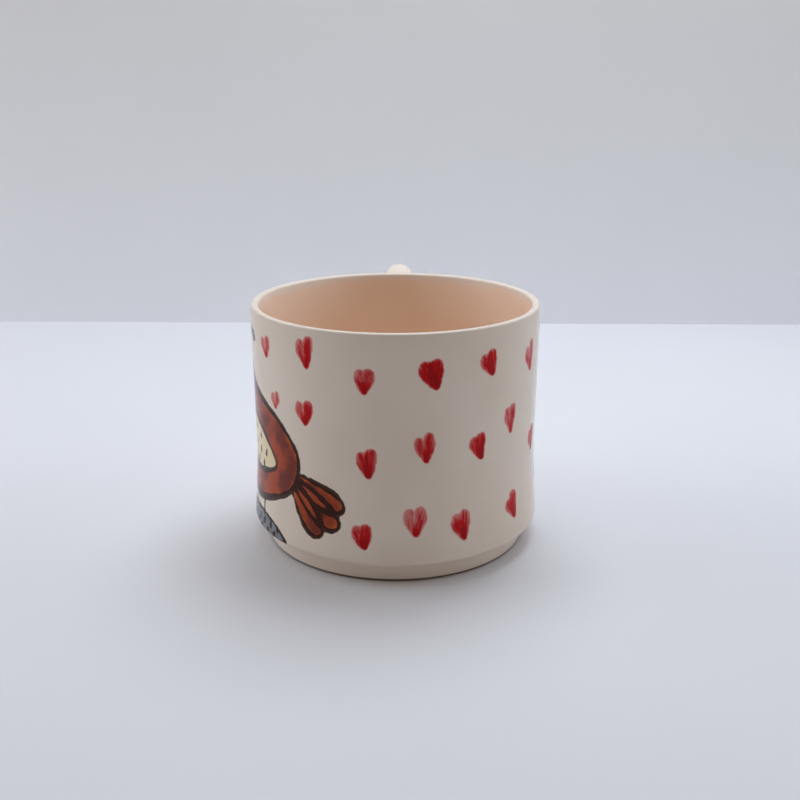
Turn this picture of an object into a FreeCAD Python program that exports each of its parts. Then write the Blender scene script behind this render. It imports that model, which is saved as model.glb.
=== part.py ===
"""Mug: a slip-cast straight cup with an inset foot ring and a looped strap handle.

The cup and its handle are one piece of glazed pottery, so they are one solid.
Sizes are in millimetres. The origin is the centre of the foot on the table,
+Z points up and +Y points out through the handle.
"""
import FreeCAD, Part
import math
import os

V = FreeCAD.Vector

# Cup
height = 73.6            # table to the crown of the lip
rim_d = 87.0             # outside, across the lip
waist_in = 0.5           # how far the wall draws in below the rim radius at its waist
skirt_out = 0.75         # how far the wall swells past the rim radius just above the foot
wall = 3.0               # thickness of the cast wall
floor_thick = 4.0        # between the inside floor and the recess under it
floor_round = 7.0        # the curve between the inside wall and floor

# Foot, narrow enough to nest in the rim of a like mug
stack_clear = 0.35       # gap all round between the nested foot and the rim
foot_taper = 0.4         # how much narrower the ring is at the table than at its root
foot_h = 5.3             # height of the foot ring up to the underside of the wall
foot_ring_w = 4.2        # width of the ring the mug stands on
recess = 1.8             # depth of the hollow inside the ring
skirt_round = 1.9        # where the wall turns under towards the foot
foot_cove = 1.3          # the cove between the underside of the wall and the foot
foot_edge = 0.8          # the edges of the ring that meet the table

# Handle
handle_reach = 35.0      # from the rim radius to the outermost point of the loop
handle_drop = 0.8        # from the crown of the lip down to the top of the loop
strap_w = 9.4            # across the strap, along X
strap_t = 7.4            # through the strap, in the plane of the loop
join_round = 3.0         # the soft web of slip where the handle meets the wall

# Tied sizes
rim_r = rim_d / 2
inside_r = rim_r - wall
waist_r = rim_r - waist_in
skirt_r = rim_r + skirt_out
skirt_z = foot_h + 1.7
foot_root_r = inside_r - stack_clear
foot_r = foot_root_r - foot_taper
ring_in_r = foot_r - foot_ring_w
floor_z = recess + floor_thick
lip_round = wall * 0.49


def arc(start, middle, end):
    """Return a circular edge through three points."""
    return Part.Arc(start, middle, end).toShape()


def rounded(points, radii):
    """Return the edges of an open polyline whose inner corners are rounded by the given radii."""
    edges = []
    last = points[0]
    for before, corner, after, radius in zip(points, points[1:], points[2:], radii):
        a = (before - corner).normalize()
        b = (after - corner).normalize()
        half = a.getAngle(b) / 2
        bisector = (a + b).normalize()
        start = corner + a * (radius / math.tan(half))
        end = corner + b * (radius / math.tan(half))
        middle = corner + bisector * (radius / math.sin(half) - radius)
        if start.distanceToPoint(last) > 1e-6:
            edges.append(Part.makeLine(last, start))
        edges.append(arc(start, middle, end))
        last = end
    if last.distanceToPoint(points[-1]) > 1e-6:
        edges.append(Part.makeLine(last, points[-1]))
    return edges


def eased(upright, other):
    """Return an arc between two points of a wall line that is upright at the first of them."""
    step = other - upright
    middle = upright + step * 0.5
    return arc(upright, V(middle.x - step.x / 4, 0, middle.z), other)


# Underside and foot, with the edges of the ring bevelled, up to where the wall draws in to its waist
foot = [
    V(0, 0, recess), V(ring_in_r - foot_edge, 0, recess), V(ring_in_r, 0, recess - foot_edge),
    V(ring_in_r + foot_edge, 0, 0), V(foot_r - foot_edge, 0, 0), V(foot_r, 0, foot_edge)]
waist = V(waist_r, 0, height * 0.4)
turn_z = height * 0.29
above, below = waist.z - turn_z, turn_z - skirt_z
turn = V(waist_r + (skirt_r - waist_r) * above / (above + 2 * below), 0, turn_z)
underside = [Part.makeLine(a, b) for a, b in zip(foot, foot[1:])]
underside += rounded(
    [foot[-1], V(foot_root_r, 0, foot_h), V(skirt_r, 0, skirt_z), turn], [foot_cove, skirt_round])

# Outside wall: it draws in to a very slight waist and opens a little from there to the lip
rim_low = height - lip_round
outer_wall = [eased(waist, turn), eased(waist, V(rim_r, 0, rim_low))]

# Lip: a full round
lip = rounded(
    [V(rim_r, 0, rim_low), V(rim_r, 0, height), V(inside_r, 0, height), V(inside_r, 0, rim_low)],
    [lip_round, lip_round])

# Inside wall and floor
waist_in_side = V(waist_r - wall, 0, waist.z)
floor_top = V(inside_r, 0, floor_z + floor_round)
inner_wall = [eased(waist_in_side, V(inside_r, 0, rim_low)), eased(waist_in_side, floor_top)]
floor = rounded([floor_top, V(inside_r, 0, floor_z), V(0, 0, floor_z)], [floor_round])

edges = underside + outer_wall + lip + inner_wall + floor
edges.append(Part.makeLine(V(0, 0, floor_z), V(0, 0, recess)))
cup = Part.Face(Part.Wire(Part.sortEdges(edges)[0])).revolve(V(0, 0, 0), V(0, 0, 1), 360)

# Handle: an oval strap swept round an ear-shaped loop
loop_y = rim_r + handle_reach - strap_t / 2          # centre line, outermost
loop_z = height - handle_drop - strap_t / 2          # centre line, highest
join_hi = height * 0.83                              # centre line, leaving the wall
join_lo = height * 0.24                              # centre line, back at the wall
reach = loop_y - rim_r
drop = loop_z - join_lo

loop = Part.BSplineCurve()
loop.interpolate([
    V(0, rim_r - 9.0, join_hi - 5.0),
    V(0, rim_r, join_hi),
    V(0, rim_r + reach * 0.31, join_hi + (loop_z - join_hi) * 0.70),
    V(0, rim_r + reach * 0.62, loop_z),
    V(0, rim_r + reach * 0.87, loop_z - drop * 0.07),
    V(0, loop_y, loop_z - drop * 0.275),
    V(0, rim_r + reach * 0.945, loop_z - drop * 0.53),
    V(0, rim_r + reach * 0.76, loop_z - drop * 0.75),
    V(0, rim_r + reach * 0.49, loop_z - drop * 0.895),
    V(0, rim_r + reach * 0.22, loop_z - drop * 0.972),
    V(0, rim_r, join_lo),
    V(0, rim_r - 9.0, join_lo - 2.2),
])
path = loop.toShape()


def strap_section(at, w, t):
    """Return an oval wire across the loop at a fraction of its length."""
    u = path.FirstParameter + at * (path.LastParameter - path.FirstParameter)
    along = path.tangentAt(u)
    wire = Part.Wire(Part.Ellipse(V(0, 0, 0), w / 2, t / 2).toShape())
    turn = FreeCAD.Rotation(V(1, 0, 0), along.cross(V(1, 0, 0)), along, "XYZ")
    wire.Placement = FreeCAD.Placement(path.valueAt(u), turn)
    return wire


strap = Part.Wire([path]).makePipeShell([
    strap_section(0.0, strap_w * 1.22, strap_t * 1.2),
    strap_section(0.3, strap_w, strap_t),
    strap_section(0.7, strap_w, strap_t),
    strap_section(1.0, strap_w * 1.14, strap_t * 1.12),
], True, False)
strap = strap.cut(Part.makeCylinder(rim_r - wall * 0.6, height * 1.5, V(0, 0, -height * 0.25)))

# Join the handle to the wall and soften the seam
mug = cup.fuse(strap)


def seam_edges(shape):
    """Return the edges where the strap leaves the wall."""
    found = []
    for edge in shape.Edges:
        box = edge.BoundBox
        at_wall = rim_r - 5.0 < box.YMin and box.YMax < rim_r + 1.0
        if at_wall and skirt_z < box.ZMin and box.XLength < strap_w * 2 and edge.Length > 1.0:
            found.append(edge)
    return found


mug = mug.makeFillet(join_round, seam_edges(mug))

solid = mug.Solids[0]
os.makedirs("parts", exist_ok=True)
solid.exportStep("parts/mug.step")
print("clay cm3 %.1f, brim capacity ml %.0f" % (
    solid.Volume / 1000, math.pi * (waist_r - wall) ** 2 * (height - floor_z) / 1000))
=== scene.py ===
"""Hand-painted mug on a plain pale table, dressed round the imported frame.

The cup is turned from one section and the strap handle is swept and joined to it, so the mug is one
piece of pottery. The painting is laid on its wall as distances from each brush mark's edge, in
millimetres, and the glaze material reads those distances.
"""

import logging
import math
from collections.abc import Sequence
from dataclasses import dataclass, field
from enum import Enum

import bpy
import numpy as np
from mathutils import Euler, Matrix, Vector


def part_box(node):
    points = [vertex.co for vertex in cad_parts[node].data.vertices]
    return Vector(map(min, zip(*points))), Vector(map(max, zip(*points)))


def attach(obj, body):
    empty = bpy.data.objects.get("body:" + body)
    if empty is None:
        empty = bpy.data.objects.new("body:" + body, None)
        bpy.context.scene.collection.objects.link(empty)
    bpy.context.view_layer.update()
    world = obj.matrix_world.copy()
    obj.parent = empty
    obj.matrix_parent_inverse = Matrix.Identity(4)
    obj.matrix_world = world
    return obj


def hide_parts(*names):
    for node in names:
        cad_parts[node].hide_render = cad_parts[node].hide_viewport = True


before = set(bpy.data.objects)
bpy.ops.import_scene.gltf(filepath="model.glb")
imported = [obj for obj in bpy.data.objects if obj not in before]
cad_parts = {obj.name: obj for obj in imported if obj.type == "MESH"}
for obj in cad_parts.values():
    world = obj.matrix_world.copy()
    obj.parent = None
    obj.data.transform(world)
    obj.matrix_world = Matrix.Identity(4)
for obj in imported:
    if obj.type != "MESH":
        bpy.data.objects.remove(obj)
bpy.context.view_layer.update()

log = logging.getLogger("mug")

MM = 0.001
WELD = 0.005 * MM    # points of a mesh nearer than this are one point
FAR = 9.0            # mm, the distance kept where a paint layer is nowhere near
TINY = 1e-9          # stands in for a length of nought in a division
IMAGE_PX = 800.0     # the width of the photograph's frame
COLOURS = {"data_type": "RGBA"}                   # a Mix of colours: share 0, first 6, second 7, result 2
SOFT_STEP = {"interpolation_type": "SMOOTHSTEP"}  # a Map Range: value 0, nought at 1, one at 2


class Layer(Enum):
    """Paint layers, by the name of the mesh attribute that keeps each one's distance."""

    HEART = "heart"
    RUST = "rust"
    CREAM = "cream"
    SLATE = "slate"
    LINE = "line"


class Facing(Enum):
    """Which way a painted bird looks, seen from outside the mug."""

    LEFT = 1
    RIGHT = -1


# Small tools


def linear(hex_colour: str) -> tuple[float, float, float, float]:
    """Turn an sRGB hex colour into the linear values that shaders use.

    Args:
        hex_colour: Six hex digits, with or without a leading hash.

    Returns:
        Red, green, blue and alpha, linear.
    """
    digits = hex_colour.lstrip("#")
    parts = [int(digits[i:i + 2], 16) / 255 for i in (0, 2, 4)]
    red, green, blue = (c / 12.92 if c <= 0.04045 else ((c + 0.055) / 1.055) ** 2.4 for c in parts)
    return red, green, blue, 1.0


def add_node(
    tree: bpy.types.NodeTree, kind: str, inputs: dict | None = None, out: int | str = 0, **settings,
) -> bpy.types.NodeSocket | None:
    """Add a shader node with its settings, and set or link its inputs.

    Args:
        tree: The node tree to add to.
        kind: The node's type name, less the word that all shader nodes start with.
        inputs: Input name or number to a value, or to the output socket that feeds it.
        out: The name or number of the output to return.
        **settings: Properties set on the node itself.

    Returns:
        The output socket asked for, or None from a node that ends a tree.
    """
    node = tree.nodes.new("ShaderNode" + kind)
    for name, value in settings.items():
        setattr(node, name, value)
    for key, value in (inputs or {}).items():
        if isinstance(value, bpy.types.NodeSocket):
            tree.links.new(value, node.inputs[key])
        else:
            node.inputs[key].default_value = value
    return node.outputs[out] if node.outputs else None


def clear_selection() -> None:
    """Deselect every object."""
    bpy.ops.object.select_all(action="DESELECT")


def only(obj: bpy.types.Object) -> None:
    """Make one object the selected and active one.

    Args:
        obj: The object that the next operators work on.
    """
    clear_selection()
    obj.select_set(True)
    bpy.context.view_layer.objects.active = obj


def places(mesh: bpy.types.Mesh) -> np.ndarray:
    """Return where a mesh's points are.

    Args:
        mesh: The mesh, in metres.

    Returns:
        The points in millimetres, one row each.
    """
    flat = np.empty(len(mesh.vertices) * 3)
    mesh.vertices.foreach_get("co", flat)
    return flat.reshape(-1, 3) / MM


def divide(start: Vector, end: Vector, spacing: float) -> list[Vector]:
    """Return evenly spaced points after start, up to and with end."""
    count = max(1, round((end - start).length / spacing))
    return [start.lerp(end, i / count) for i in range(1, count + 1)]


def round_corner(before: Vector, corner: Vector, after: Vector, radius: float, steps: int) -> list[Vector]:
    """Return points along the arc that rounds a corner between two straight lines.

    Args:
        before: A point on the line that comes in.
        corner: Where the two lines meet.
        after: A point on the line that leaves.
        radius: The arc's radius.
        steps: How many chords the arc has.

    Returns:
        The arc's points, from the incoming line to the outgoing one.
    """
    a, b = (before - corner).normalized(), (after - corner).normalized()
    half = a.angle(b) / 2
    centre = corner + (a + b).normalized() * (radius / math.sin(half))
    start = corner + a * (radius / math.tan(half))
    end = corner + b * (radius / math.tan(half))
    first, turn = start - centre, (start - centre).angle(end - centre)
    side = (end - centre) - first * math.cos(turn)
    side.normalize()
    return [
        centre + first * math.cos(turn * i / steps) + side * (radius * math.sin(turn * i / steps))
        for i in range(steps + 1)
    ]


# The pottery


@dataclass
class Cup:
    """The turned cup. Sizes are in millimetres, with the overall height taken from the frame."""

    height: float
    rim_r: float = 43.5
    waist_in: float = 0.5
    skirt_out: float = 0.75
    wall: float = 3.0
    floor_thick: float = 4.0
    floor_round: float = 7.0
    stack_clear: float = 0.35
    foot_taper: float = 0.4
    foot_h: float = 5.3
    foot_ring_w: float = 4.2
    recess: float = 1.8
    skirt_round: float = 1.9
    foot_cove: float = 1.3
    foot_edge: float = 0.8
    lip_wall: float = 2.2      # the wall is drawn thinner towards the lip
    lip_lean: float = 0.35     # and leans in this much
    lip_high: float = 6.0      # over this height
    lip_out_round: float = 0.6
    lip_in_round: float = 0.9
    skirt_rise: float = 1.7    # from the underside of the wall up to its widest
    waist_share: float = 0.4   # the waist's height, as a share of the mug's
    turn_share: float = 0.29   # and where the wall starts to swell below it
    segments: int = 448        # how finely the cup is turned
    ring_spacing: float = 0.62      # between the outside wall's rings, fine enough to carry the painting
    inner_spacing: float = 1.8      # between the inside wall's rings
    floor_spacing: float = 8.0      # between the inside floor's rings
    recess_spacing: float = 12.0    # between the rings under the floor
    recess_margin: float = 2.0      # from the last of those to the foot ring
    corner_steps: int = 6      # chords round a small corner
    lip_in_steps: int = 7      # and round the lip's inner corner
    floor_steps: int = 9       # and from the inside wall to the floor

    def __post_init__(self) -> None:
        """Work out the sizes that follow from the fields."""
        self.inside_r = self.rim_r - self.wall
        self.waist_r = self.rim_r - self.waist_in
        self.skirt_r = self.rim_r + self.skirt_out
        self.skirt_z = self.foot_h + self.skirt_rise
        self.foot_root_r = self.inside_r - self.stack_clear
        self.foot_r = self.foot_root_r - self.foot_taper
        self.ring_in_r = self.foot_r - self.foot_ring_w
        self.floor_z = self.recess + self.floor_thick
        self.lip_r = self.rim_r - self.lip_lean
        self.lip_in_r = self.lip_r - self.lip_wall
        self.rim_low = self.height - self.lip_out_round
        self.waist_z = self.height * self.waist_share
        self.turn_z = self.height * self.turn_share
        above, below = self.waist_z - self.turn_z, self.turn_z - self.skirt_z
        self.turn_r = self.waist_r + (self.skirt_r - self.waist_r) * above / (above + 2 * below)

    def outside(self, z: np.ndarray) -> np.ndarray:
        """Return the outside wall's radius between the skirt and the lip.

        Args:
            z: Heights over the table.

        Returns:
            The radius at each height.
        """
        open_up = (z - self.waist_z) / (self.rim_low - self.waist_z)
        lean = self.lip_lean * self.lip_share(z)
        swell = (self.waist_z - z) / (self.waist_z - self.turn_z)
        skirt = (self.turn_z - z) / (self.turn_z - self.skirt_z)
        upper = self.waist_r + self.waist_in * open_up ** 2 - lean
        middle = self.waist_r + (self.turn_r - self.waist_r) * swell ** 2
        lower = self.turn_r + (self.skirt_r - self.turn_r) * skirt
        return np.where(z >= self.waist_z, upper, np.where(z >= self.turn_z, middle, lower))

    def lip_share(self, z: np.ndarray) -> np.ndarray:
        """Return how far the wall has gone over into the lip at some heights, from nought to one."""
        start = self.height - self.lip_high
        return np.clip((z - start) / (self.rim_low - start), 0.0, 1.0) ** 2

    def clearance(self, points: np.ndarray) -> np.ndarray:
        """Return how far points lie outside the wall, as if it ran on past the skirt and the lip."""
        heights = np.clip(points[:, 2], self.skirt_z, self.rim_low)
        return np.hypot(points[:, 0], points[:, 1]) - self.outside(heights)

    def inside(self, z: float) -> float:
        """Return the inside wall's radius.

        Args:
            z: A height above the floor's curve.

        Returns:
            The radius there.
        """
        top = self.rim_low if z >= self.waist_z else self.floor_z + self.floor_round
        part = (z - self.waist_z) / (top - self.waist_z)
        thinned = (self.lip_in_r - self.inside_r) * float(self.lip_share(z))
        return self.waist_r - self.wall + self.waist_in * part ** 2 + thinned

    def section(self) -> list[Vector]:
        """Draw half of the cup's section.

        Returns:
            Its points as radius and height, from the underside's middle round the lip to the floor's middle.
        """
        corners = [
            Vector((0.0, self.recess)), Vector((self.ring_in_r, self.recess)), Vector((self.ring_in_r, 0.0)),
            Vector((self.foot_r, 0.0)), Vector((self.foot_root_r, self.foot_h)),
            Vector((self.skirt_r, self.skirt_z)), Vector((self.turn_r, self.turn_z))]
        radii = [self.foot_edge, self.foot_edge, self.foot_edge, self.foot_cove, self.skirt_round]
        recess_end = Vector((self.ring_in_r - self.recess_margin, self.recess))
        points = [corners[0]] + divide(corners[0], recess_end, self.recess_spacing)
        for i, radius in enumerate(radii, start=1):
            points += round_corner(corners[i - 1], corners[i], corners[i + 1], radius, self.corner_steps)
        low = points[-1].y
        count = round((self.rim_low - low) / self.ring_spacing)
        heights = np.linspace(low, self.rim_low, count + 1)[1:]
        points += [Vector((r, z)) for r, z in zip(self.outside(heights), heights)]
        rim_out, rim_in = Vector((self.lip_r, self.height)), Vector((self.lip_in_r, self.height))
        wall_top = Vector((self.lip_r, self.rim_low))
        points += round_corner(wall_top, rim_out, rim_in, self.lip_out_round, self.corner_steps)[1:]
        inner_low = self.height - self.lip_in_round
        inner_top = Vector((self.lip_in_r, inner_low))
        points += round_corner(rim_out, rim_in, inner_top, self.lip_in_round, self.lip_in_steps)
        floor_top = self.floor_z + self.floor_round
        count = round((inner_low - floor_top) / self.inner_spacing)
        heights = np.linspace(inner_low, floor_top, count + 1)[1:-1]
        points += [Vector((self.inside(z), z)) for z in heights]
        top, corner = Vector((self.inside_r, floor_top)), Vector((self.inside_r, self.floor_z))
        middle = Vector((0.0, self.floor_z))
        points += round_corner(top, corner, middle, self.floor_round, self.floor_steps)
        points += divide(points[-1], middle, self.floor_spacing)
        return points

    def build(self, name: str) -> bpy.types.Object:
        """Turn the section into the cup.

        Args:
            name: The new object's name.

        Returns:
            The cup, a closed mesh.
        """
        points = [Vector((p.x, 0.0, p.y)) * MM for p in self.section()]
        clear_selection()
        bpy.ops.mesh.primitive_plane_add(size=MM, location=points[0])
        cup = bpy.context.object
        cup.name = cup.data.name = name
        bpy.ops.object.transform_apply(location=True)
        bpy.ops.object.mode_set(mode="EDIT")
        bpy.ops.mesh.select_mode(type="VERT")
        bpy.ops.mesh.select_all(action="SELECT")
        bpy.ops.mesh.merge(type="CENTER")
        for last, point in zip(points, points[1:]):
            bpy.ops.mesh.extrude_vertices_move(TRANSFORM_OT_translate={"value": point - last})
        bpy.ops.mesh.select_all(action="SELECT")
        bpy.ops.mesh.spin(steps=self.segments, angle=math.tau, center=(0, 0, 0), axis=(0, 0, 1))
        bpy.ops.mesh.select_all(action="SELECT")
        bpy.ops.mesh.remove_doubles(threshold=WELD)
        bpy.ops.mesh.normals_make_consistent(inside=False)
        bpy.ops.object.mode_set(mode="OBJECT")
        return cup


@dataclass
class StrapHandle:
    """The oval strap that loops from below the lip to above the foot. Sizes are in millimetres."""

    cup: Cup
    reach: float
    drop: float = 0.8
    width: float = 9.4
    thick: float = 7.4
    join_high: float = 0.83    # where the loop leaves the wall, as a share of the mug's height
    join_low: float = 0.24     # and where it comes back to it
    buried: float = 0.7        # how deep its ends go into the wall, as a share of the wall
    web: float = 4.2           # how far the webs of slip reach from the seam
    web_passes: int = 36       # how often the webs are smoothed, half way each time
    seam_beside: float = 1.5   # how far to each side the seams are looked for, in widths of the strap
    seam_off: float = 1.5      # and how far off the wall, in reaches of the webs
    seam_gap: float = 0.03     # what is nearer to the wall than this lies on it
    seam_weld: float = 0.06    # the seam's points nearer than this are one point
    steps: int = 14            # between two of the loop's points
    oval_steps: int = 8        # in each quarter of the oval
    crease: float = 40.0       # degrees, past which an edge stays sharp

    def centre_line(self) -> list[tuple[Vector, float]]:
        """Lay out the middle of the loop.

        Returns:
            Its points in metres, each with the strap's relative girth there.
        """
        rim, height = self.cup.rim_r, self.cup.height
        out = self.reach - self.thick / 2
        top = height - self.drop - self.thick / 2
        high, low = height * self.join_high, height * self.join_low
        fall = top - low
        knots = [
            (-9.0, high - 5.0, 1.22), (0.0, high, 1.14),
            (out * 0.31, high + (top - high) * 0.70, 1.06), (out * 0.62, top, 1.0),
            (out * 0.87, top - fall * 0.07, 1.0), (out * 0.992, top - fall * 0.275, 1.0),
            (out * 0.945, top - fall * 0.53, 1.0), (out * 0.76, top - fall * 0.75, 1.0),
            (out * 0.49, top - fall * 0.895, 1.02), (out * 0.22, top - fall * 0.972, 1.06),
            (0.0, low, 1.10), (-9.0, low - 2.2, 1.14)]
        return [(Vector((0.0, rim + y, z)) * MM, girth) for y, z, girth in knots]

    def sweep(self) -> bpy.types.Object:
        """Sweep the oval round the loop.

        Returns:
            The strap as a mesh, closed at both ends.
        """
        clear_selection()
        bpy.ops.curve.primitive_bezier_circle_add(radius=1.0, location=(0, 0, 0))
        oval = bpy.context.object
        oval.scale = (self.width / 2 * MM, self.thick / 2 * MM, 1.0)
        bpy.ops.object.transform_apply(scale=True)
        oval.data.resolution_u = self.oval_steps
        clear_selection()
        bpy.ops.curve.primitive_bezier_curve_add(location=(0, 0, 0))
        strap = bpy.context.object
        line = self.centre_line()
        spline = strap.data.splines[0]
        spline.bezier_points.add(len(line) - len(spline.bezier_points))
        for knot, (place, girth) in zip(spline.bezier_points, line):
            knot.co = place
            knot.radius = girth
            knot.handle_left_type = knot.handle_right_type = "AUTO"
        strap.data.dimensions = "3D"
        strap.data.twist_mode = "MINIMUM"
        strap.data.resolution_u = self.steps
        strap.data.bevel_mode = "OBJECT"
        strap.data.bevel_object = oval
        strap.data.use_fill_caps = True
        only(strap)
        bpy.ops.object.convert(target="MESH")
        bpy.data.objects.remove(oval)
        return strap

    def build(self) -> bpy.types.Object:
        """Make the strap, and cut it off inside the thickness of the wall.

        Returns:
            The handle, a closed mesh.
        """
        strap = self.sweep()
        only(strap)
        bpy.ops.object.mode_set(mode="EDIT")
        bpy.ops.mesh.select_all(action="SELECT")
        bpy.ops.mesh.remove_doubles(threshold=WELD)
        cut = self.cup.rim_r - self.cup.wall * self.buried
        bpy.ops.mesh.select_all(action="SELECT")
        bpy.ops.mesh.bisect(plane_co=(0, cut * MM, 0), plane_no=(0, 1, 0), use_fill=True, clear_inner=True)
        bpy.ops.mesh.select_all(action="SELECT")
        bpy.ops.mesh.normals_make_consistent(inside=False)
        bpy.ops.object.mode_set(mode="OBJECT")
        return strap

    def soften_seams(self, mug: bpy.types.Object) -> None:
        """Draw the seams where the strap leaves the wall out into soft webs of slip.

        Args:
            mug: The cup with the handle joined to it.
        """
        points = places(mug.data)
        clearance = self.cup.clearance(points)
        flat = np.empty(len(mug.data.edges) * 2, int)
        mug.data.edges.foreach_get("vertices", flat)
        ends = flat.reshape(-1, 2)
        ends = np.vstack([ends, ends[:, ::-1]])
        behind = (points[:, 1] > 0) & (np.abs(points[:, 0]) < self.width * self.seam_beside)
        lies, rises = clearance[ends[:, 0]] < self.seam_gap, clearance[ends[:, 1]] > self.seam_gap
        leaves = lies & rises & behind[ends[:, 0]]
        seam = points[np.unique(ends[leaves, 0])]
        beside_wall = (clearance > -self.cup.wall / 2) & (clearance < self.web * self.seam_off)
        near = np.flatnonzero(behind & beside_wall)
        gaps = np.linalg.norm(points[near, None, :] - seam[None, :, :], axis=2).min(axis=1)
        weights = np.clip(1.0 - gaps / self.web, 0.0, 1.0)
        group = mug.vertex_groups.new(name="web")
        for number, weight in zip(near, weights):
            if weight > 0:
                group.add([int(number)], float(weight * (2 - weight)), "REPLACE")
        only(mug)
        smooth = mug.modifiers.new("web", "SMOOTH")
        smooth.factor = 0.5
        smooth.iterations = self.web_passes
        smooth.vertex_group = group.name
        bpy.ops.object.modifier_apply(modifier=smooth.name)
        mug.vertex_groups.clear()

    def join_to(self, mug: bpy.types.Object) -> None:
        """Join the handle to the cup as one closed mesh, and smooth it.

        Args:
            mug: The cup, which takes the handle in.
        """
        strap = self.build()
        only(mug)
        union = mug.modifiers.new("join", "BOOLEAN")
        union.operation = "UNION"
        union.solver = "EXACT"
        union.object = strap
        bpy.ops.object.modifier_apply(modifier=union.name)
        bpy.data.objects.remove(strap)
        bpy.ops.object.mode_set(mode="EDIT")
        bpy.ops.mesh.select_all(action="SELECT")
        bpy.ops.mesh.remove_doubles(threshold=self.seam_weld * MM)
        bpy.ops.object.mode_set(mode="OBJECT")
        self.soften_seams(mug)
        bpy.ops.object.shade_smooth_by_angle(angle=math.radians(self.crease))


# Brush marks, as distances on the wall unrolled flat, in millimetres


def smooth_line(knots: Sequence[tuple[float, float]], closed: bool, steps: int = 10) -> np.ndarray:
    """Return a smooth line through knots as a dense row of points.

    Args:
        knots: The places that the brush passes.
        closed: Whether the line comes back to its start.
        steps: How many points each stretch gets.

    Returns:
        The points, one row each, with the first repeated at the end of a closed line.
    """
    k = np.array(knots, float)
    if closed:
        k = np.vstack([k[-1], k, k[0], k[1]])
    else:
        k = np.vstack([2 * k[0] - k[1], k, 2 * k[-1] - k[-2]])
    rows = []
    for p0, p1, p2, p3 in zip(k, k[1:], k[2:], k[3:]):
        for i in range(steps):
            t = i / steps
            rows.append(0.5 * (
                2 * p1 + (p2 - p0) * t + (2 * p0 - 5 * p1 + 4 * p2 - p3) * t ** 2
                + (3 * p1 - p0 - 3 * p2 + p3) * t ** 3))
    rows.append(k[-2])
    return np.array(rows)


def stroke(at: np.ndarray, line: np.ndarray, widths: np.ndarray) -> np.ndarray:
    """Return the distance to the edge of a brush line whose width changes along it.

    Args:
        at: The places asked about, one row each.
        line: The line's points, one row each.
        widths: The brush's width at each of the line's points.

    Returns:
        The distance at each place, below zero inside the mark.
    """
    best = np.full(len(at), FAR)
    for a, b, wa, wb in zip(line, line[1:], widths, widths[1:]):
        along = np.clip(((at - a) @ (b - a)) / max((b - a) @ (b - a), TINY), 0, 1)
        gap = np.linalg.norm(at - a - along[:, None] * (b - a), axis=1)
        best = np.minimum(best, gap - (wa + (wb - wa) * along) / 2)
    return best


def region(at: np.ndarray, line: np.ndarray) -> np.ndarray:
    """Return the distance to the edge of a filled shape.

    Args:
        at: The places asked about, one row each.
        line: The shape's closed outline, one row a point.

    Returns:
        The distance at each place, below zero inside the shape.
    """
    inside = np.zeros(len(at), bool)
    for a, b in zip(line, line[1:]):
        spans = (a[1] > at[:, 1]) != (b[1] > at[:, 1])
        rise = b[1] - a[1] if b[1] != a[1] else TINY
        inside ^= spans & (at[:, 0] < a[0] + (at[:, 1] - a[1]) * (b[0] - a[0]) / rise)
    gap = stroke(at, line, np.zeros(len(line)))
    return np.where(inside, -gap, gap)


def brushed(at: np.ndarray, start: np.ndarray, end: np.ndarray) -> np.ndarray:
    """Return places as the brush met them: across the stroke from start to end, and along it."""
    way = (end - start) / np.hypot(*(end - start))
    return np.column_stack([(at - start) @ np.array([way[1], -way[0]]), (at - start) @ way])


@dataclass(frozen=True)
class Heart:
    """A heart of two dabs that meet at its tip.

    The angle is in degrees round the wall from the front, and height, width and length in millimetres.
    """

    angle: float
    height: float
    width: float
    length: float
    lean: float = 2.0      # degrees
    step: float = 0.8      # mm, how much lower the left dab starts
    tip: float = 0.1       # how far to the right the tip lies, as a share of the width
    cleft: float = 0.5     # how far apart the two dabs start, from nought to one
    load: float = 0.8      # how full the brush was, from nought to one

    def dabs(self) -> list[tuple[np.ndarray, np.ndarray, float]]:
        """Lay out the two dabs. Each swells from where the brush touched down, then narrows to the tip.

        Returns:
            Each dab's line, its widths along that line and its load, the left and thinner dab first.
        """
        # Shares of the heart's width and length, and steps in the paint's load, are given here
        tip_r = self.width * 0.15
        tip = (self.width * self.tip, tip_r - self.length / 2)
        marks = []
        for hand, girth, lower, load in ((-1, 1.0, self.step, -0.08), (1, 1.12, 0.0, 0.05)):
            r = self.width * (0.29 - 0.07 * self.cleft) * girth
            side = hand * (self.width / 2 - r)
            top, mid = self.length / 2 - r - lower, self.length * 0.08 - lower / 2
            low = (tip[0] + (side - tip[0]) * 0.46, -self.length * 0.22)
            line = smooth_line([(side, top), (side * 1.03, mid), low, tip], False, 5)
            widths = np.interp(np.linspace(0, 3, len(line)), range(4), [1.86 * r, 2 * r, 1.5 * r, 2 * tip_r])
            marks.append((line, widths, self.load + load))
        return marks
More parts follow.
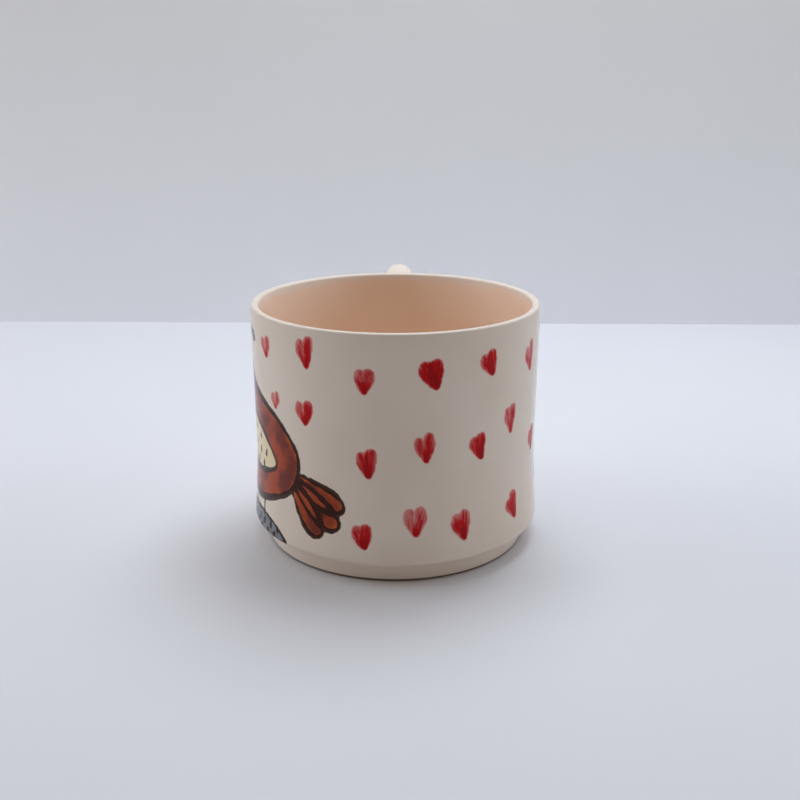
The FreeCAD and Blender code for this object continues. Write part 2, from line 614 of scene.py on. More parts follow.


# Placed after the painting, then carried on in the same loose rows round the unseen side
HEARTS = (
    Heart(-57, 65.1, 5.5, 6.8, -2, 0.6, 0.05, 0.8, 0.65), Heart(-33.8, 66.9, 5.8, 9.6, 2, 1.2, 0.15, 0.6, 0.75),
    Heart(-10, 60.5, 5.7, 7.7, 1, 0.4, 0.0, 0.2, 0.7), Heart(14, 62.4, 6.9, 8.9, 2, 0.6, 0.22, 0.0, 1.05),
    Heart(37.2, 63.6, 5.9, 8.0, 2, 1.2, 0.28, 0.0, 0.85), Heart(63.5, 61.7, 6.0, 9.8, 2, 2.0, 0.2, 0.5, 0.6),
    Heart(-51.2, 50.4, 4.5, 5.6, 2, 0.7, 0.0, 0.7, 0.55), Heart(-34.8, 49.4, 6.5, 7.9, 2, 0.9, 0.06, 0.8, 0.8),
    Heart(-9.5, 37, 5.9, 9.2, 2, 1.1, 0.1, 0.1, 0.85), Heart(12, 41.5, 5.9, 9.2, -4, 1.1, 0.0, 0.55, 0.75),
    Heart(33.2, 40, 5.5, 8.5, 2, 1.2, 0.26, 0.2, 0.9), Heart(50, 45.4, 5.2, 9.1, 3, 1.0, 0.15, 0.4, 0.6),
    Heart(70.4, 35.2, 5.6, 8.8, 0, 1.5, 0.15, 0.0, 0.8), Heart(-11.4, 15.3, 5.8, 7.9, 1, 0.5, 0.14, 0.15, 0.85),
    Heart(8.5, 19.9, 6.6, 9.2, -1, 0.5, 0.0, 0.7, 0.55), Heart(26, 17.5, 6.0, 9.6, 5, 1.3, 0.24, 0.2, 0.7),
    Heart(52, 18.5, 5.6, 9.2, 2, 2.4, 0.3, 0.0, 0.75),
    Heart(90, 59, 5.8, 8.6, 3), Heart(101, 65, 5.4, 7.6, -3, 0.4), Heart(107, 53, 5.0, 7.4, 4, 1.0, 0.1, 0.7, 0.5),
    Heart(-116, 64, 6.0, 8.8, 2), Heart(-137, 58.5, 5.6, 8.2, -3, 0.4, 0.1, 0.3, 0.9),
    Heart(-156, 64.5, 6.2, 9.0, 4, 1.1, 0.14, 0.6, 0.6), Heart(-122, 44, 5.8, 8.8, 3, 0.9, 0.06, 0.8, 0.5),
    Heart(-145, 36.5, 6.0, 9.2, -2, 0.6, 0.12, 0.2, 0.9), Heart(-162, 45, 5.4, 8.2, 4, 1.2),
    Heart(-116, 18.5, 6.2, 9.2, 0, 0.5, 0.04, 0.4, 0.9), Heart(-132, 23, 5.8, 8.6, 5, 1.0, 0.12, 0.7, 0.7),
    Heart(-155, 16.5, 6.0, 9.0, -2, 0.7), Heart(168, 38, 5.6, 8.6, 2, 1.1, 0.1, 0.4, 0.7),
)


@dataclass(frozen=True)
class Bird:
    """A simple painted songbird that stands on a dotted mound, with a sprig over its head.

    It is drawn looking left about its own middle line, with heights measured from the table. Places and
    sizes are in millimetres, and turns in degrees.
    """

    angle: float
    facing: Facing
    tail_turn: float = 0.0
    middle: float = 36.0       # the height of its middle
    half: float = 40.0         # how far it may reach from there
    hairs: float = -38.0       # which way the brush went over it
    body: tuple = (
        (-21.5, 53), (-20, 57.5), (-15, 60), (-9.5, 57), (-5, 52), (3, 48.5), (13, 44), (20.5, 35.5),
        (18, 25), (8, 19.5), (-4, 17.5), (-14.5, 21.5), (-20.5, 30), (-22, 41), (-21, 48))
    wing: tuple = ((-14, 41), (-6, 41.5), (3, 38), (10.5, 30.5), (3, 26.5), (-6, 26.5), (-13.5, 32))
    beak: tuple = ((-21, 55.8), (-25.5, 54.4), (-29, 52.8), (-25, 51.6), (-21.3, 51.2))
    mound: tuple = (
        (-28, 7.5), (-24, 10.2), (-14, 12.6), (-3, 13.4), (7, 12.4), (13, 9.8), (14.5, 7.2), (3, 6.6), (-14, 6.6))
    eye: tuple = (-16.8, 54.2)
    eye_r: float = 2.1
    pupil_r: float = 1.15
    legs: tuple = (-4.5, 3.0)
    tail_root: tuple = (16.5, 30)
    feathers: tuple = ((-22, 20.5, 6.6), (-38, 22.0, 7.0), (-55, 20.5, 6.6))    # turn, length and width
    stem: tuple = ((-25, 67.2), (-18, 68.2), (-11, 67.2), (-6, 68.0))
    leaves: tuple = ((-21, 67, 215), (-15.5, 66.5, 300), (-11, 68.2, 150), (-8, 67, 345))    # foot and turn
    leaf: float = 4.2          # a leaf's length
    dots: int = 18             # on the mound, in two rows
    dot_start: tuple = (-24.4, 8.3)
    dot_step: tuple = (2.1, 2.3)    # from each dot to the next, and up to the second row
    body_line: float = 1.9     # how wide the line is round the body,
    wing_line: float = 1.4     # round the wing and each feather,
    beak_line: float = 0.9     # round the beak,
    mound_line: float = 1.1    # round the mound
    leaf_line: float = 0.96    # and round a leaf
    leaf_widths: tuple = (1.0, 2.9)    # at its foot and its end
    leg: tuple = ((0.0, 18.2), (-0.6, 15.0), (-0.2, 12.6))    # from the body down
    drop: tuple = (0.7, 2.0)   # how far each drop leans and how high it is
    drops: tuple = (
        (-10.5, 37.4), (-5.6, 37.6), (-0.6, 36.0), (-10.6, 32.6), (-5.8, 32.6), (-1, 31.4), (3.8, 31.6),
        (-3.6, 28.2), (1.6, 28.0))


@dataclass
class Painting:
    """Everything painted on the cup's outside wall."""

    cup: Cup
    hearts: tuple = HEARTS
    birds: tuple = (Bird(-66.0, Facing.LEFT), Bird(127.5, Facing.RIGHT, tail_turn=-8.0))
    layers: dict = field(default_factory=dict)
    wall_gap: float = 0.5      # what is nearer to the wall than this takes paint
    below_skirt: float = 1.0   # and down to this far below the skirt's widest
    heart_half: float = 9.0    # how far a heart's brush reaches
    bird_streaks: float = 90.0     # parts the birds' streaks from the hearts'
    overlap_load: float = 0.5      # how much fuller paint lies where the second dab covers the first
    overlap_soft: float = 0.7      # over which the overlap comes in
    overlap_edge: float = 0.3      # the second dab's streaks cover the first's from this far inside its edge
    dab_margin: float = 1.5        # how far past its edge a dab keeps its streaks, for the edge wanders
    line_swell: float = 0.28       # how much a drawn line grows thicker and thinner, as a share of its width
    line_waves: float = 2.5        # and how often on its way round
    floor_margin: float = 0.3      # the inside starts this far below the floor's top,
    foot_margin: float = 0.9       # but beside the foot ring, where the wall's underside is, this far above it
    ring_margin: float = 2.0       # and what lies farther out than this from the ring's inner edge is beside it

    def open(self, mug: bpy.types.Object) -> None:
        """Read the mesh's points and start every layer empty.

        Args:
            mug: The bare mug.
        """
        self.points = places(mug.data)
        self.turned = np.degrees(np.arctan2(self.points[:, 0], -self.points[:, 1]))
        self.up = self.points[:, 2]
        beside = np.abs(self.cup.clearance(self.points)) < self.wall_gap
        self.on_wall = beside & (self.up > self.cup.skirt_z - self.below_skirt)
        count = len(self.points)
        self.layers = {layer: np.full(count, FAR) for layer in Layer}
        self.load = np.ones(count)
        self.brush = np.column_stack([np.radians(self.turned) * self.cup.rim_r, self.up, np.zeros(count)])

    def near(self, angle: float, height: float, half: float) -> tuple[np.ndarray, np.ndarray]:
        """Pick the wall's points round a place.

        Args:
            angle: The place's angle round the wall, in degrees.
            height: Its height.
            half: How far to reach on each side.

        Returns:
            The picked points' numbers, and where each one lies from the place, right and up.
        """
        off = (self.turned - angle + 180) % 360 - 180
        right = np.radians(off) * self.cup.waist_r
        picked = np.flatnonzero(self.on_wall & (np.abs(right) < half) & (np.abs(self.up - height) < half))
        return picked, np.column_stack([right[picked], self.up[picked] - height])

    def lay(self, layer: Layer, picked: np.ndarray, gap: np.ndarray) -> None:
        """Add a mark to a layer."""
        self.layers[layer][picked] = np.minimum(self.layers[layer][picked], gap)

    def paint_heart(self, number: int, heart: Heart) -> None:
        """Paint one heart: the left dab first, then the right one over it.

        Args:
            number: The heart's place in the row, which gives its brush streaks of its own.
            heart: The heart.
        """
        picked, at = self.near(heart.angle, heart.height, self.heart_half)
        turn = math.radians(heart.lean)
        at = at @ np.array([[math.cos(turn), math.sin(turn)], [-math.sin(turn), math.cos(turn)]])
        under = np.full(len(picked), FAR)
        for hand, (line, widths, load) in enumerate(heart.dabs()):
            gap = stroke(at, line, widths)
            over = (gap < self.dab_margin) & (gap < np.maximum(under, -self.overlap_edge))
            self.brush[picked[over], :2] = brushed(at[over], line[0], line[-1])
            self.brush[picked[over], 2] = number * 2 + hand
            doubled = np.clip(-np.maximum(gap, under) / self.overlap_soft, 0.0, 1.0)
            self.load[picked[over]] = load + self.overlap_load * doubled[over]
            under = np.where((gap < 0) & (under < 0), under + gap, np.minimum(under, gap))
        self.lay(Layer.HEART, picked, under)

    def outline(self, picked: np.ndarray, at: np.ndarray, line: np.ndarray, width: float) -> None:
        """Draw round a shape with a loaded brush, thick and thin.

        Args:
            picked: The numbers of the wall's points near the shape.
            at: Where each of those points lies, right and up.
            line: The shape's closed outline, one row a point.
            width: The line's width where it is neither thick nor thin.
        """
        waves = np.linspace(0, self.line_waves * math.tau, len(line)) + line[0, 0]
        swell = 1 + self.line_swell * np.sin(waves)
        self.lay(Layer.LINE, picked, stroke(at, line, width * swell))

    def feather(
        self, picked: np.ndarray, at: np.ndarray, bird: Bird, turn: float, length: float, width: float,
    ) -> None:
        """Paint one long tail feather and its outline.

        Args:
            picked: The numbers of the wall's points near the bird.
            at: Where each of those points lies, right of the bird's middle line and up.
            bird: The bird whose tail it is in.
            turn: Which way it points, in degrees.
            length: Its length.
            width: Its greatest width.
        """
        root = np.array(bird.tail_root)
        along = np.array([math.cos(math.radians(turn)), math.sin(math.radians(turn))])
        across = np.array([-along[1], along[0]])
        shape = (
            (0.0, 0.0), (0.3, 0.36), (0.7, 0.5), (0.93, 0.34), (1.0, 0.0), (0.9, -0.38), (0.65, -0.48), (0.3, -0.34))
        knots = [tuple(root + along * length * a + across * width * c) for a, c in shape]
        line = smooth_line(knots, closed=True)
        self.lay(Layer.RUST, picked, region(at, line))
        self.outline(picked, at, line, bird.wing_line)
        quill = np.array([root + along * length * a for a in (0.25, 0.5, 0.8)])
        self.lay(Layer.LINE, picked, stroke(at, quill, np.array([0.7, 0.6, 0.2])))

    def paint_bird(self, bird: Bird) -> None:
        """Paint one bird with its mound and sprig.

        Args:
            bird: The bird.
        """
        picked, at = self.near(bird.angle, bird.middle, bird.half)
        at = at * (bird.facing.value, 1) + (0, bird.middle)
        lean = math.radians(bird.hairs)
        way = np.array([math.cos(lean), math.sin(lean)])
        self.brush[picked, :2] = brushed(at, np.zeros(2), way)
        self.brush[picked, 2] = self.bird_streaks
        for turn, length, width in bird.feathers:
            self.feather(picked, at, bird, turn + bird.tail_turn, length, width)
        body = smooth_line(bird.body, closed=True)
        inside_body = region(at, body)
        self.layers[Layer.LINE][picked[inside_body < 0]] = FAR
        self.lay(Layer.RUST, picked, inside_body)
        self.outline(picked, at, body, bird.body_line)
        wing = smooth_line(bird.wing, closed=True)
        self.lay(Layer.CREAM, picked, region(at, wing))
        self.outline(picked, at, wing, bird.wing_line)
        for x, y in bird.drops:
            drop = np.array([(x, y), (x + bird.drop[0], y + bird.drop[1])])
            self.lay(Layer.LINE, picked, stroke(at, drop, np.array([1.5, 0.4])))
        beak = smooth_line(bird.beak, closed=True)
        self.lay(Layer.CREAM, picked, region(at, beak))
        self.outline(picked, at, beak, bird.beak_line)
        eye = np.hypot(at[:, 0] - bird.eye[0], at[:, 1] - bird.eye[1])
        self.lay(Layer.CREAM, picked, eye - bird.eye_r)
        drawn = self.layers[Layer.LINE][picked]
        self.layers[Layer.LINE][picked] = np.where(eye < bird.eye_r, eye - bird.pupil_r, drawn)
        for x in bird.legs:
            leg = np.array([(x + side, height) for side, height in bird.leg])
            self.lay(Layer.LINE, picked, stroke(at, leg, np.array([1.1, 0.8, 0.9])))
        self.paint_mound(bird, picked, at)
        self.paint_sprig(bird, picked, at)

    def paint_mound(self, bird: Bird, picked: np.ndarray, at: np.ndarray) -> None:
        """Paint the slate mound, with dark dots in two loose rows.

        Args:
            bird: The bird that stands on it.
            picked: The numbers of the wall's points near the bird.
            at: Where each of those points lies, right of the bird's middle line and up.
        """
        mound = smooth_line(bird.mound, closed=True)
        ground = region(at, mound)
        self.lay(Layer.SLATE, picked, ground)
        self.outline(picked, at, mound, bird.mound_line)
        for i in range(bird.dots):
            x, y = bird.dot_start[0] + i * bird.dot_step[0], bird.dot_start[1] + bird.dot_step[1] * (i % 2)
            dab = np.array([(x, y - 0.5), (x + 0.4, y + 0.6)])
            self.lay(Layer.LINE, picked, np.maximum(stroke(at, dab, np.array([1.7, 1.2])), ground + 0.3))

    def paint_sprig(self, bird: Bird, picked: np.ndarray, at: np.ndarray) -> None:
        """Paint the leafy sprig over the bird's head.

        Args:
            bird: The bird under it.
            picked: The numbers of the wall's points near the bird.
            at: Where each of those points lies, right of the bird's middle line and up.
        """
        stem = smooth_line(bird.stem, closed=False)
        self.lay(Layer.LINE, picked, stroke(at, stem, np.linspace(1.2, 0.8, len(stem))))
        for x, y, turn in bird.leaves:
            way = math.radians(turn)
            leaf = np.array([(x, y), (x + bird.leaf * math.cos(way), y + bird.leaf * math.sin(way))])
            gap = stroke(at, leaf, np.array(bird.leaf_widths))
            self.lay(Layer.SLATE, picked, gap)
            self.lay(Layer.LINE, picked, np.abs(gap) - bird.leaf_line / 2)

    def lining(self) -> np.ndarray:
        """Tell the inside of the cup from its outside.

        Returns:
            How far each of the mesh's points lies below the crown, turned below zero on the outside.
        """
        radius = np.hypot(self.points[:, 0], self.points[:, 1])
        over_floor = self.up - self.cup.floor_z
        within = (radius < self.cup.rim_r - self.cup.wall / 2) & (over_floor > -self.floor_margin)
        within &= (radius < self.cup.ring_in_r + self.ring_margin) | (over_floor > self.foot_margin)
        depth = self.cup.height - self.up
        return np.where(within, depth, -depth)

    def close(self, mug: bpy.types.Object) -> None:
        """Write the layers and the brush's coordinates on to the mesh.

        Args:
            mug: The mug whose points the layers belong to.
        """
        kept = {layer.value: np.clip(gap, -FAR, FAR) for layer, gap in self.layers.items()}
        kept.update(load=self.load, lining=self.lining())
        for name, values in kept.items():
            mug.data.attributes.new(name, "FLOAT", "POINT").data.foreach_set("value", values)
        brush = mug.data.attributes.new("brush", "FLOAT_VECTOR", "POINT")
        brush.data.foreach_set("vector", self.brush.ravel())

    def apply(self, mug: bpy.types.Object) -> None:
        """Paint the whole mug.

        Args:
            mug: The bare mug, which keeps the painting as attributes of its mesh.
        """
        self.open(mug)
        for bird in self.birds:
            self.paint_bird(bird)
        for number, heart in enumerate(self.hearts):
            self.paint_heart(number, heart)
        self.close(mug)
        log.info("painted %d hearts and %d birds", len(self.hearts), len(self.birds))


# Finishes


@dataclass(frozen=True)
class GlazedEarthenware:
    """Ivory earthenware, brush-painted under a clear gloss glaze and lined with a peach glaze.

    The clear glaze runs over paint and body alike, so the gloss is even while the colours under it
    show brush streaks, thin edges where the ivory comes through, and a few iron specks.
    """

    ivory: str = "#EFE1D3"
    ivory_warm: str = "#EADACA"
    peach: str = "#F5DCC8"
    peach_deep: str = "#F2D4BC"
    red_thin: str = "#DA5F61"
    red_core: str = "#C6060E"
    red_deep: str = "#A50308"
    rust_core: str = "#AD3D06"
    rust_dark: str = "#701E05"
    rust_edge: str = "#CB6A1E"
    cream: str = "#F0DDAE"
    slate: str = "#7E8894"
    slate_dark: str = "#5E6874"
    ink: str = "#35170E"
    # Bare clay's colour, darkened so that it also paints the contact shadow under the foot
    biscuit_and_contact_shade: str = "#745C4B"
    speck: str = "#6A5140"
    hairs: tuple[float, float, float] = (1.35, 0.22, 3.7)    # streaks per mm across and along, and from dab to dab
    gloss: float = 0.17            # the clear glaze's roughness
    specular: float = 0.12         # low, because the photograph's glaze hardly mirrors the table
    # Below these heights the foot's edge also takes painted contact shade
    bare_shade_full: float = 0.55        # mm over the table, where the clay is bare
    bare_shade_end: float = 0.95         # and where the glaze starts

    def build(self) -> bpy.types.Material:
        """Mix the glaze, the paint under it and the bare clay.

        Returns:
            The finished material.
        """
        material = bpy.data.materials.new("Glazed earthenware, underglaze painted")
        material.use_nodes = True
        tree = material.node_tree
        tree.nodes.clear()
        where = add_node(tree, "TexCoord", out="Object")
        colour, paint = self.painting(tree, where, self.body(tree, where))

        # The bare clay of the foot's edge, where the glaze was wiped off: drier, and brown against the table, partly
        # the clay's own colour and partly painted shade that stands in for the contact shadow where the foot meets
        # the table
        height = add_node(tree, "SeparateXYZ", {0: where}, "Z")
        bare = add_node(tree, "MapRange", {0: height, 1: self.bare_shade_end * MM, 2: self.bare_shade_full * MM}, **SOFT_STEP)
        colour = add_node(tree, "Mix", {0: bare, 6: colour, 7: linear(self.biscuit_and_contact_shade)}, 2, **COLOURS)
        rough = add_node(tree, "Math", {0: bare, 1: 0.6, 2: self.gloss}, operation="MULTIPLY_ADD")

        # The glaze lies in slow swells, a little raised over the paint
        fine = add_node(tree, "TexNoise", {"Vector": where, "Scale": 1 / (1.6 * MM), "Detail": 1.0})
        swell = add_node(tree, "TexNoise", {"Vector": where, "Scale": 1 / (11 * MM), "Detail": 1.0})
        relief = add_node(tree, "Math", {0: fine, 1: 0.10, 2: swell}, operation="MULTIPLY_ADD")
        relief = add_node(tree, "Math", {0: paint, 1: 0.05, 2: relief}, operation="MULTIPLY_ADD")
        bump = add_node(tree, "Bump", {"Height": relief, "Strength": 0.35, "Distance": 0.25 * MM})
        shader = add_node(tree, "BsdfPrincipled", {
            "Base Color": colour, "Roughness": rough, "Specular IOR Level": self.specular, "Normal": bump})
        add_node(tree, "OutputMaterial", {"Surface": shader})
        return material

    def body(self, tree: bpy.types.NodeTree, where: bpy.types.NodeSocket) -> bpy.types.NodeSocket:
        """Mix the ivory outside, the peach inside and their soft meeting below the lip.

        Args:
            tree: The material's node tree.
            where: Object coordinates.

        Returns:
            The colour under the paint.
        """
        cloud = add_node(tree, "TexNoise", {"Vector": where, "Scale": 1 / (26 * MM), "Detail": 2.0})
        share = add_node(tree, "MapRange", {0: cloud, 1: 0.35, 2: 0.75}, **SOFT_STEP)
        ivory = add_node(tree, "Mix", {0: share, 6: linear(self.ivory), 7: linear(self.ivory_warm)}, 2, **COLOURS)
        share = add_node(tree, "MapRange", {0: cloud, 1: 0.3, 2: 0.7}, **SOFT_STEP)
        peach = add_node(tree, "Mix", {0: share, 6: linear(self.peach), 7: linear(self.peach_deep)}, 2, **COLOURS)
        drift = add_node(tree, "TexNoise", {"Vector": where, "Scale": 1 / (16 * MM), "Detail": 2.0})
        depth = add_node(tree, "Attribute", out="Fac", attribute_name="lining")
        depth = add_node(tree, "Math", {0: drift, 1: -2.6, 2: depth}, operation="MULTIPLY_ADD")
        share = add_node(tree, "MapRange", {0: depth, 1: 0.1, 2: 1.4}, **SOFT_STEP)
        colour = add_node(tree, "Mix", {0: share, 6: ivory, 7: peach}, 2, **COLOURS)

        # Iron specks, one in about every fifth patch of 13 mm
        cells = add_node(tree, "TexVoronoi", {"Vector": where, "Scale": 1 / (13 * MM)}, "Distance")
        lone = add_node(tree, "SeparateXYZ", {0: cells.node.outputs["Color"]}, "X")
        lone = add_node(tree, "MapRange", {0: lone, 1: 0.80, 2: 0.84}, **SOFT_STEP)
        spot = add_node(tree, "MapRange", {0: cells, 1: 0.024, 2: 0.012}, **SOFT_STEP)
        spot = add_node(tree, "Math", {0: spot, 1: lone}, operation="MULTIPLY")
        return add_node(tree, "Mix", {0: spot, 6: colour, 7: linear(self.speck)}, 2, **COLOURS)

    def painting(
        self, tree: bpy.types.NodeTree, where: bpy.types.NodeSocket, colour: bpy.types.NodeSocket,
    ) -> tuple[bpy.types.NodeSocket, bpy.types.NodeSocket]:
        """Lay the painted layers over the body.

        Args:
            tree: The material's node tree.
            where: Object coordinates.
            colour: The colour under the paint.

        Returns:
            The painted colour, and how thick the paint lies from nought to one.
        """
        # Edges wander a little, as the hand and the porous body make them
        slow = add_node(tree, "TexNoise", {"Vector": where, "Scale": 1 / (2.6 * MM), "Detail": 1.0})
        slow = add_node(tree, "Math", {0: slow, 1: 0.7, 2: -0.49}, operation="MULTIPLY_ADD")
        quick = add_node(tree, "TexNoise", {"Vector": where, "Scale": 1 / (0.8 * MM), "Detail": 1.0})
        wobble = add_node(tree, "Math", {0: quick, 1: 0.28, 2: slow}, operation="MULTIPLY_ADD")
        edge = {}
        for layer in Layer:
            gap = add_node(tree, "Attribute", out="Fac", attribute_name=layer.value)
            edge[layer] = add_node(tree, "Math", {0: gap, 1: wobble}, operation="ADD")

        # Hairs of the brush leave streaks along each stroke
        brush = add_node(tree, "Attribute", out="Vector", attribute_name="brush")
        drawn = add_node(tree, "VectorMath", {0: brush, 1: self.hairs}, operation="MULTIPLY")
        hairs = add_node(tree, "TexNoise", {"Vector": drawn, "Scale": 1.0, "Detail": 2.0, "Roughness": 0.5})
        streak = add_node(tree, "MapRange", {0: hairs, 1: 0.34, 2: 0.68}, **SOFT_STEP)

        slate = add_node(tree, "Mix", {0: streak, 6: linear(self.slate), 7: linear(self.slate_dark)}, 2, **COLOURS)
        share = add_node(tree, "MapRange", {0: edge[Layer.SLATE], 1: 0.16, 2: -0.16, 4: 0.92}, **SOFT_STEP)
        colour = add_node(tree, "Mix", {0: share, 6: colour, 7: slate}, 2, **COLOURS)

        rust, rust_share = self.rust(tree, where, edge[Layer.RUST], streak)
        colour = add_node(tree, "Mix", {0: rust_share, 6: colour, 7: rust}, 2, **COLOURS)

        share = add_node(tree, "Math", {0: streak, 1: 0.35}, operation="MULTIPLY")
        cream = add_node(tree, "Mix", {0: share, 6: linear(self.cream), 7: linear(self.ivory)}, 2, **COLOURS)
        share = add_node(tree, "MapRange", {0: edge[Layer.CREAM], 1: 0.16, 2: -0.16}, **SOFT_STEP)
        colour = add_node(tree, "Mix", {0: share, 6: colour, 7: cream}, 2, **COLOURS)

        line_share = add_node(tree, "MapRange", {0: edge[Layer.LINE], 1: 0.15, 2: -0.15, 4: 0.97}, **SOFT_STEP)
        colour = add_node(tree, "Mix", {0: line_share, 6: colour, 7: linear(self.ink)}, 2, **COLOURS)

        red, red_share = self.red(tree, edge[Layer.HEART], brush, streak)
        colour = add_node(tree, "Mix", {0: red_share, 6: colour, 7: red}, 2, **COLOURS)
        paint = add_node(tree, "Math", {0: rust_share, 1: line_share}, operation="MAXIMUM")
        return colour, add_node(tree, "Math", {0: paint, 1: red_share}, operation="MAXIMUM")

    def rust(
        self, tree: bpy.types.NodeTree, where: bpy.types.NodeSocket, edge: bpy.types.NodeSocket,
        streak: bpy.types.NodeSocket,
    ) -> tuple[bpy.types.NodeSocket, bpy.types.NodeSocket]:
        """Mix the rust wash: orange at its rims, with darker pools where it lay wet.

        Args:
            tree: The material's node tree.
            where: Object coordinates.
            edge: The distance to the wash's edge.
            streak: The brush hairs' streaks.

        Returns:
            The wash's colour, and how much of it covers the body.
        """
        depth = add_node(tree, "Math", {0: streak, 1: -1.6, 2: edge}, operation="MULTIPLY_ADD")
        depth = add_node(tree, "MapRange", {0: depth, 1: 0.4, 2: -2.8}, **SOFT_STEP)
        colour = add_node(tree, "Mix", {0: depth, 6: linear(self.rust_edge), 7: linear(self.rust_core)}, 2, **COLOURS)
        pool = add_node(tree, "TexNoise", {"Vector": where, "Scale": 1 / (6.5 * MM), "Detail": 2.0})
        pool = add_node(tree, "MapRange", {0: pool, 1: 0.36, 2: 0.66}, **SOFT_STEP)
        pool = add_node(tree, "Math", {0: pool, 1: depth}, operation="MULTIPLY")
        colour = add_node(tree, "Mix", {0: pool, 6: colour, 7: linear(self.rust_dark)}, 2, **COLOURS)
        return colour, add_node(tree, "MapRange", {0: edge, 1: 0.18, 2: -0.18, 4: 0.97}, **SOFT_STEP)

    def red(
        self, tree: bpy.types.NodeTree, edge: bpy.types.NodeSocket, brush: bpy.types.NodeSocket,
        streak: bpy.types.NodeSocket,
    ) -> tuple[bpy.types.NodeSocket, bpy.types.NodeSocket]:
        """Mix the hearts' red, thin at a dab's rim and where the brush touched down, and full at its tip.

        Args:
            tree: The material's node tree.
            edge: The distance to the hearts' edge.
            brush: The brush's coordinates, across and along the stroke.
            streak: The brush hairs' streaks.

        Returns:
            The paint's colour, and how much of it covers the body.
        """
        load = add_node(tree, "Attribute", out="Fac", attribute_name="load")
        along = add_node(tree, "SeparateXYZ", {0: brush}, "Y")
        along = add_node(tree, "MapRange", {0: along, 1: -1.5, 2: 6.0}, **SOFT_STEP)
        flow = add_node(tree, "Math", {0: along, 1: 0.35, 2: load}, operation="MULTIPLY_ADD")
        inward = add_node(tree, "MapRange", {0: edge, 1: 0.1, 2: -1.3}, **SOFT_STEP)
        flow = add_node(tree, "Math", {0: inward, 1: 0.40, 2: flow}, operation="MULTIPLY_ADD")
        flow = add_node(tree, "Math", {0: streak, 1: 0.42, 2: flow}, operation="MULTIPLY_ADD")
        full = add_node(tree, "MapRange", {0: flow, 1: 0.65, 2: 1.6}, **SOFT_STEP)
        colour = add_node(tree, "Mix", {0: full, 6: linear(self.red_thin), 7: linear(self.red_core)}, 2, **COLOURS)
        deep = add_node(tree, "MapRange", {0: flow, 1: 1.5, 2: 2.2}, **SOFT_STEP)
        colour = add_node(tree, "Mix", {0: deep, 6: colour, 7: linear(self.red_deep)}, 2, **COLOURS)
        cover = add_node(tree, "Math", {0: full, 1: 0.26, 2: 0.74}, operation="MULTIPLY_ADD")
        share = add_node(tree, "MapRange", {0: edge, 1: 0.30, 2: -0.34}, **SOFT_STEP)
        return colour, add_node(tree, "Math", {0: share, 1: cover}, operation="MULTIPLY")


@dataclass(frozen=True)
class PaintedBoard:
    """Matt painted board, as a photographer's table or backdrop: flat, with the faintest mottle.

    A backdrop's paint darkens from the table up to fade millimetres over it: painted shade for the light that falls
    off higher up.
    """

    name: str
    shade: str
    painted_shade_high: str
    fade: float = 200.0
    roughness: float = 0.75

    def build(self) -> bpy.types.Material:
        """Mix the board's paint.

        Returns:
            The finished material.
        """
        material = bpy.data.materials.new(self.name)
        material.use_nodes = True
        tree = material.node_tree
        tree.nodes.clear()
        where = add_node(tree, "TexCoord", out="Object")
        # Painted shade: the board's colour darkens higher up, as the light on it falls off
        height = add_node(tree, "SeparateXYZ", {0: where}, "Z")
        share = add_node(tree, "MapRange", {0: height, 1: 0.0, 2: self.fade * MM})
        colour = add_node(tree, "Mix", {0: share, 6: linear(self.shade), 7: linear(self.painted_shade_high)}, 2, **COLOURS)
        mottle = add_node(tree, "TexNoise", {"Vector": where, "Scale": 1 / (60 * MM), "Detail": 3.0})
        mottle = add_node(tree, "MapRange", {0: mottle, 3: 1.0, 4: 0.965})
        colour = add_node(tree, "VectorMath", {0: colour, 3: mottle}, operation="SCALE")
        shader = add_node(tree, "BsdfPrincipled", {
            "Base Color": colour, "Roughness": self.roughness, "Specular IOR Level": 0.25})
        add_node(tree, "OutputMaterial", {"Surface": shader})
        return material


# The studio


@dataclass(frozen=True)
class SoftLamp:
    """A square soft lamp that faces the mug. Its place and side are in millimetres."""

    name: str
    place: tuple[float, float, float]
    side: float
    watts: float
    shade: str
    aim: tuple[float, float, float] = (0, 0, 35)

    def hang(self) -> None:
        """Hang the lamp and turn it to the mug."""
        clear_selection()
        place = Vector(self.place)
        turn = (Vector(self.aim) - place).to_track_quat("-Z", "Y").to_euler()
        bpy.ops.object.light_add(type="AREA", location=place * MM, rotation=turn)
        lamp = bpy.context.object
        lamp.name = self.name
        lamp.data.shape = "SQUARE"
        lamp.data.size = self.side * MM
        lamp.data.energy = self.watts
        lamp.data.color = linear(self.shade)[:3]


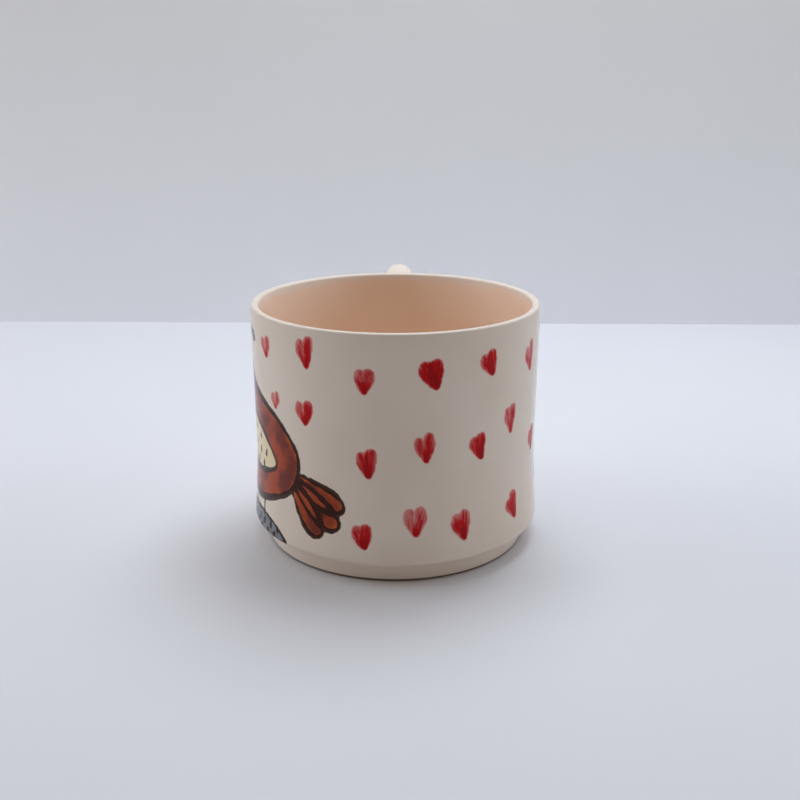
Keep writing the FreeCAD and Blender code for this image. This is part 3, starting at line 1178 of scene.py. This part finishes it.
@dataclass
class Studio:
    """Table, backdrop, soft lights and camera. Places are in millimetres."""

    table_half: float = 560.0
    backdrop_y: float = 277.0
    backdrop_high: float = 420.0
    backdrop_foot: float = 2.0     # how far the backdrop reaches below the table
    camera_far: float = 314.3
    camera_side: float = 1.384
    camera_high: float = 141.5
    camera_pitch: float = 0.307    # radians, down from level
    camera_swing: float = 0.97     # degrees, to the right round the mug
    focal_px: float = 1064.2       # focal length in the photograph's pixels
    sensor: float = 36.0
    lamps: tuple[SoftLamp, ...] = (
        SoftLamp("window_behind", (60, 170, 480), 300, 1.52, "#E8F3FF"),
        SoftLamp("ceiling", (0, -60, 760), 660, 0.85, "#F8FBFF"),
        SoftLamp("room_left", (-620, 60, 300), 420, 1.52, "#F0F6FF"),
        SoftLamp("room_right", (620, 60, 300), 420, 1.0, "#E8F2FF"))
    room: str = "#FFF1E2"          # the room's own pale light
    room_strength: float = 0.187
    room_seen: str = "#BFC1C6"     # and what the camera sees of the room

    def board(
        self, middle: Vector, size: tuple[float, float], upright: bool, finish: PaintedBoard,
    ) -> bpy.types.Object:
        """Stand or lay one plain board.

        Args:
            middle: The middle of the board.
            size: Its two sides.
            upright: Whether it stands, facing the camera.
            finish: Its paint.

        Returns:
            The board.
        """
        clear_selection()
        turn = (math.pi / 2, 0, 0) if upright else (0, 0, 0)
        bpy.ops.mesh.primitive_plane_add(size=1.0, location=middle * MM, rotation=turn)
        board = bpy.context.object
        board.name = finish.name.replace(" ", "_")
        board.scale = (size[0] * MM, size[1] * MM, 1.0)
        bpy.ops.object.transform_apply(location=True, rotation=True, scale=True)
        board.data.materials.append(finish.build())
        return board

    def build_boards(self) -> None:
        """Lay the table and stand the backdrop where the table ends."""
        deep = self.table_half + self.backdrop_y
        self.board(
            Vector((0, self.backdrop_y - deep / 2, 0)), (2 * self.table_half, deep), False,
            PaintedBoard("matt painted table", "#E3E3E7", "#E3E3E7"))
        # The backdrop's paint darkens towards its top: painted shade
        middle = Vector((0, self.backdrop_y, self.backdrop_high / 2 - self.backdrop_foot))
        self.board(
            middle, (2 * self.table_half, self.backdrop_high), True,
            PaintedBoard("matt painted backdrop", "#F5F5F9", "#E2E0DE"))

    def build_light(self) -> None:
        """Light the mug softly from above and behind, with the room's own pale light all round."""
        for lamp in self.lamps:
            lamp.hang()
        world = bpy.data.worlds.new("pale room")
        bpy.context.scene.world = world
        world.use_nodes = True
        tree = world.node_tree
        tree.nodes.clear()
        glow = add_node(tree, "Background", {"Color": linear(self.room), "Strength": self.room_strength})
        seen = add_node(tree, "Background", {"Color": linear(self.room_seen), "Strength": 1.0})
        path = add_node(tree, "LightPath", out="Is Camera Ray")
        mix = add_node(tree, "MixShader", {0: path, 1: glow, 2: seen})
        add_node(tree, "OutputWorld", {"Surface": mix})

    def build_camera(self) -> None:
        """Stand the camera where the photograph was taken from."""
        clear_selection()
        swing = math.radians(self.camera_swing)
        place = Vector((self.camera_side, -self.camera_far, self.camera_high))
        place.rotate(Euler((0, 0, swing)))
        aim = (math.pi / 2 - self.camera_pitch, 0, swing)
        bpy.ops.object.camera_add(location=place * MM, rotation=aim)
        camera = bpy.context.object
        camera.data.sensor_width = self.sensor
        camera.data.lens = self.focal_px / IMAGE_PX * self.sensor
        camera.data.clip_start = 0.01
        bpy.context.scene.camera = camera


def main() -> None:
    """Build the mug, then its surroundings."""
    logging.basicConfig(level=logging.INFO, format="%(name)s: %(message)s")
    _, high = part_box("mug")
    cup = Cup(height=high.z / MM)
    mug = cup.build("painted_mug")
    StrapHandle(cup, reach=high.y / MM - cup.rim_r).join_to(mug)
    log.info("mug has %d faces", len(mug.data.polygons))
    Painting(cup).apply(mug)
    mug.data.materials.clear()
    mug.data.materials.append(GlazedEarthenware().build())
    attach(mug, "root")
    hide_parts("mug")

    studio = Studio()
    studio.build_boards()
    studio.build_light()
    studio.build_camera()
    bpy.context.scene.view_settings.view_transform = "Standard"


if __name__ == "__main__":
    main()
